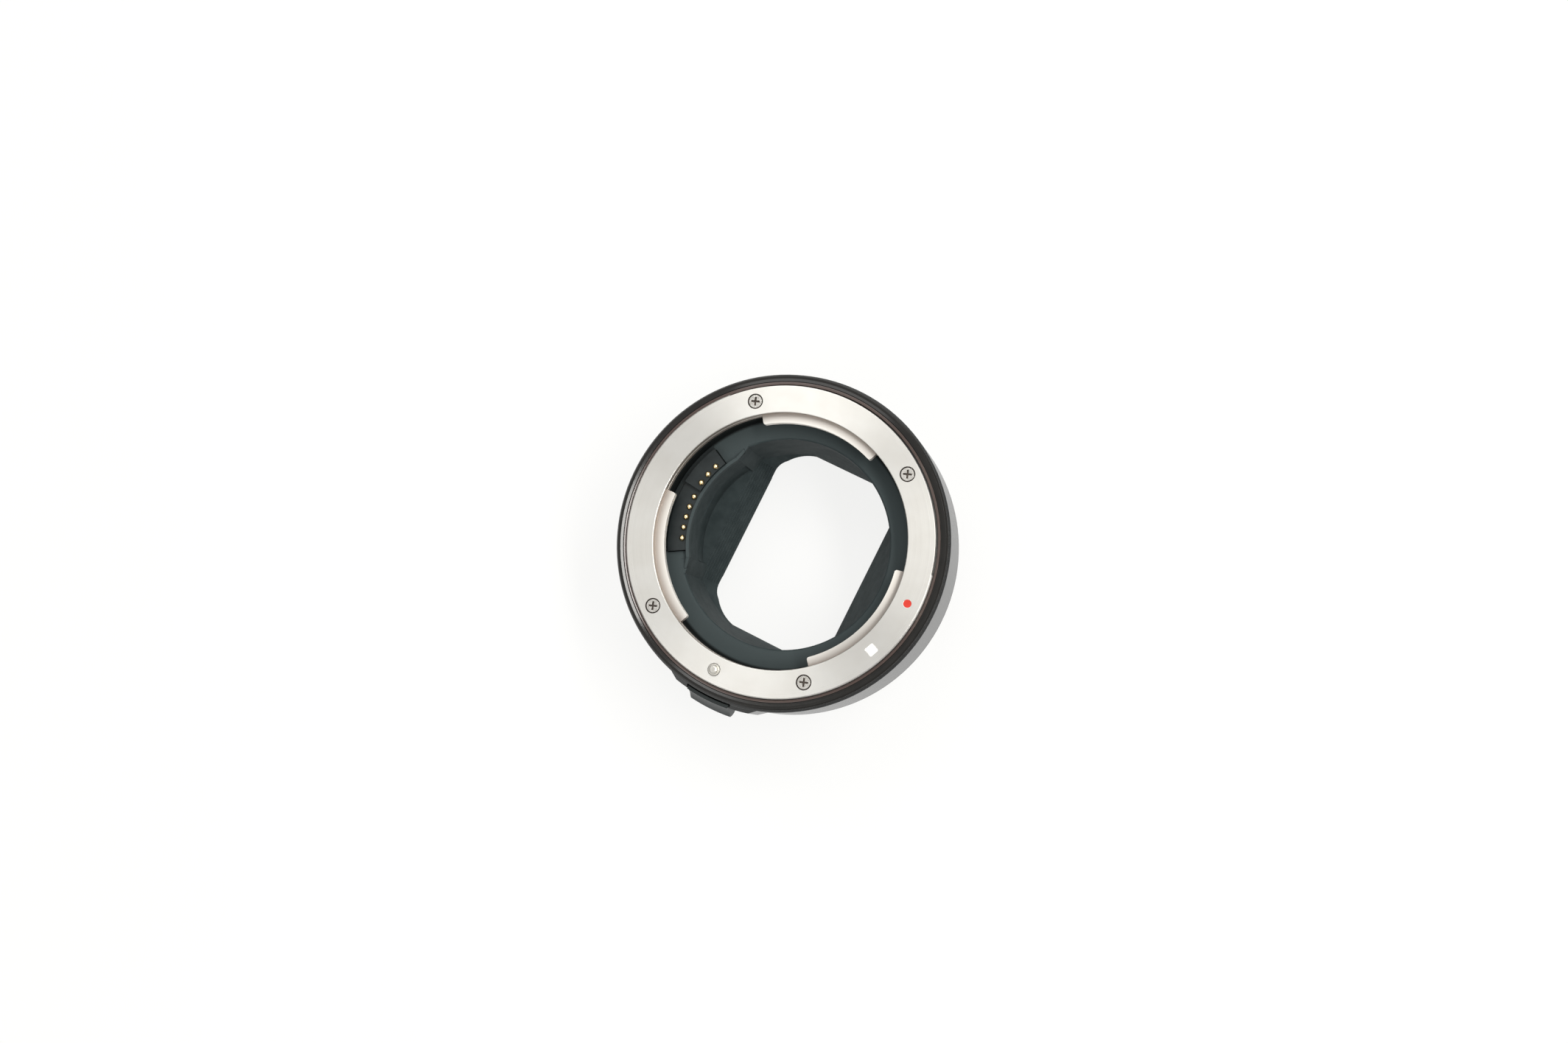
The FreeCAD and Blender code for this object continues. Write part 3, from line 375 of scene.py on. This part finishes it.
def bore_lands():
    """Steel between the tabs, flush with the bore above them."""
    solids = []
    for start, end in LAND_ARCS:
        steps = int(round((end - start) / LAND_STEP))
        angles = [start + (end - start) * i / steps for i in range(steps + 1)]
        outline = [at(BORE_R + LAND_T, a) for a in angles] + [at(BORE_R, a) for a in reversed(angles)]
        solids.append(prism(outline, LAND_FOOT, LAND_TOP))
    add_solids("bore_lands", solids, "mount_steel")


def mouth_shoulder(side, start, end):
    """Slanting end of the mouth on one side of the contacts."""
    out_r = MOUTH_R + MOUTH_EDGE + OUTER_SEAM
    outline = [at(MOUTH_R, start), at(out_r, start - side * SHOULDER_TUCK)]
    outline += [at(out_r, start + side * MOUTH_SLANT * i / SHOULDER_STEPS)
                for i in range(1, SHOULDER_STEPS + 1)]
    outline += [at(PARAPET_R + PARAPET_T / 2, end + side), at(PARAPET_R, end)]
    if side > 0:
        outline.reverse()
    return prism(outline, BAFFLE_FOOT_Z, BAFFLE_FLOOR_Z - TOP_SEAM)


def parapet_ramp(side, start, end):
    """Ramp from the low wall's end down to the floor, along the slant."""
    share = RAMP_SLANT / MOUTH_SLANT
    foot_in = tuple(a + (b - a) * share for a, b in zip(at(PARAPET_R, end), at(MOUTH_R, start)))
    foot_r = math.hypot(*foot_in)
    foot_out = tuple(c * (foot_r + PARAPET_T) / foot_r for c in foot_in)
    head_in, head_out = (at(r, end + side * RAMP_TUCK) for r in (PARAPET_R, PARAPET_R + PARAPET_T))
    ring = [(head_in, PARAPET_H), (head_out, PARAPET_H), (foot_out, 0.0), (foot_in, 0.0)]
    if side > 0:
        ring.reverse()
    return ([(*place, BAFFLE_FLOOR_Z - RAMP_SINK) for place, _ in ring],
            [(*place, BAFFLE_FLOOR_Z + height) for place, height in ring])


def mouth_shoulders():
    """Slanting ends of the mouth beside the contacts, and the ramps that end the low wall there."""
    solids = []
    for side in (1, -1):
        end = 180 - side * PARAPET_END
        start = end - side * MOUTH_SLANT
        solids += [mouth_shoulder(side, start, end), parapet_ramp(side, start, end)]
    add_solids("mouth_shoulders", solids, "baffle_plastic")


def sprung_coil(node):
    """The coil of a spring as a piece of its own, copied from its node, which is hidden."""
    coil = add_piece(node + "_coil", frame["nodes"][node].data.copy())
    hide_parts(node)
    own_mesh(coil)


bore_lands()
mouth_shoulders()
for sprung_joint in frame["joints"]:
    for spring in sprung_joint["deforming_nodes"]:
        sprung_coil(spring["node"])


# Floor, light and camera

def make_floor():
    """Pale floor that the camera and reflections see nearly white, and that keeps the shadow."""
    mesh = bpy.data.meshes.new("floor")
    corners = ((-1, -1), (1, -1), (1, 1), (-1, 1))
    mesh.from_pydata([(x * FLOOR_HALF, y * FLOOR_HALF, FLOOR_Z) for x, y in corners], [], [(0, 1, 2, 3)])
    p = Paint("pale_floor").set(Roughness=0.6)
    p.join(p.tint(p.noise(60.0), (0.84, 0.84, 0.83), (0.86, 0.86, 0.85)), "Base Color")
    glow = p.nodes.new("ShaderNodeEmission")
    glow.inputs["Color"].default_value = (1.0, 1.0, 0.99, 1.0)
    ray = p.nodes.new("ShaderNodeLightPath").outputs
    mix = p.nodes.new("ShaderNodeMixShader")
    share = p.math("MAXIMUM", p.math("MULTIPLY", ray["Is Camera Ray"], FLOOR_SEEN),
                   p.math("MULTIPLY", ray["Is Glossy Ray"], FLOOR_MIRRORED))
    p.links.new(share, mix.inputs["Fac"])
    p.links.new(p.bsdf.outputs[0], mix.inputs[1])
    p.links.new(glow.outputs[0], mix.inputs[2])
    p.links.new(mix.outputs[0], p.out.inputs["Surface"])
    mesh.materials.append(p.mat)
    add_object("floor", mesh)


def soft_light(name, azimuth, elevation, width, height, radiance, tint):
    """Area light in metres and degrees that looks at the object; radiance sets its brightness."""
    a, e = math.radians(azimuth), math.radians(elevation)
    place = LAMP_DISTANCE * Vector((math.cos(a) * math.cos(e), math.sin(a) * math.cos(e), math.sin(e)))
    data = bpy.data.lights.new(name, "AREA")
    data.shape, data.size, data.size_y = "RECTANGLE", width, height
    data.energy = radiance * math.pi * width * height
    data.color = tint
    light = add_object(name, data)
    light.location = place
    gaze = Vector((0, 0, LENS_FLANGE_Z * MM)) - place
    light.rotation_euler = gaze.to_track_quat("-Z", "Y").to_euler()


def make_camera():
    """The camera of the photo; its place is the inverse of how it sees the part."""
    turn_x, turn_y, turn_z = (Matrix.Rotation(math.radians(angle), 4, axis)
                              for angle, axis in zip(CAMERA_TURNS, "XYZ"))
    to_flange = Matrix.Translation((0, 0, -LENS_FLANGE_Z * MM))
    seen = Matrix.Translation(Vector(CAMERA_SHIFT) * MM) @ turn_x @ turn_y @ turn_z @ to_flange
    data = bpy.data.cameras.new("camera")
    data.sensor_width = SENSOR_W
    data.lens = FOCAL_PX / PHOTO_W * SENSOR_W
    data.clip_start, data.clip_end = 0.01, 20.0
    camera = add_object("camera", data)
    camera.matrix_world = seen.inverted()
    bpy.context.scene.camera = camera


def make_sky():
    """Even pale surroundings, weaker towards the horizon."""
    world = bpy.data.worlds.new("studio")
    bpy.context.scene.world = world
    world.use_nodes = True
    tree = world.node_tree
    sky = tree.nodes["Background"]
    sky.inputs["Color"].default_value = (1.0, 0.995, 0.985, 1.0)
    split = tree.nodes.new("ShaderNodeSeparateXYZ")
    tree.links.new(tree.nodes.new("ShaderNodeTexCoord").outputs["Generated"], split.inputs[0])
    strength = map_range(tree, split.outputs[2], (0.0, SKY_TOP), (SKY_LOW, SKY_HIGH))
    tree.links.new(strength, sky.inputs["Strength"])


make_floor()
soft_light("key_light", 122, 52, 0.7, 0.5, 2.7, (1.0, 0.995, 0.98))
soft_light("window_light", 33, 55, 1.05, 0.19, 14.0, (1.0, 0.985, 0.95))
soft_light("back_fill", -98, 54, 0.8, 0.5, 1.6, (1.0, 0.995, 0.98))
make_camera()
make_sky()
bpy.context.scene.view_settings.view_transform = "Standard"
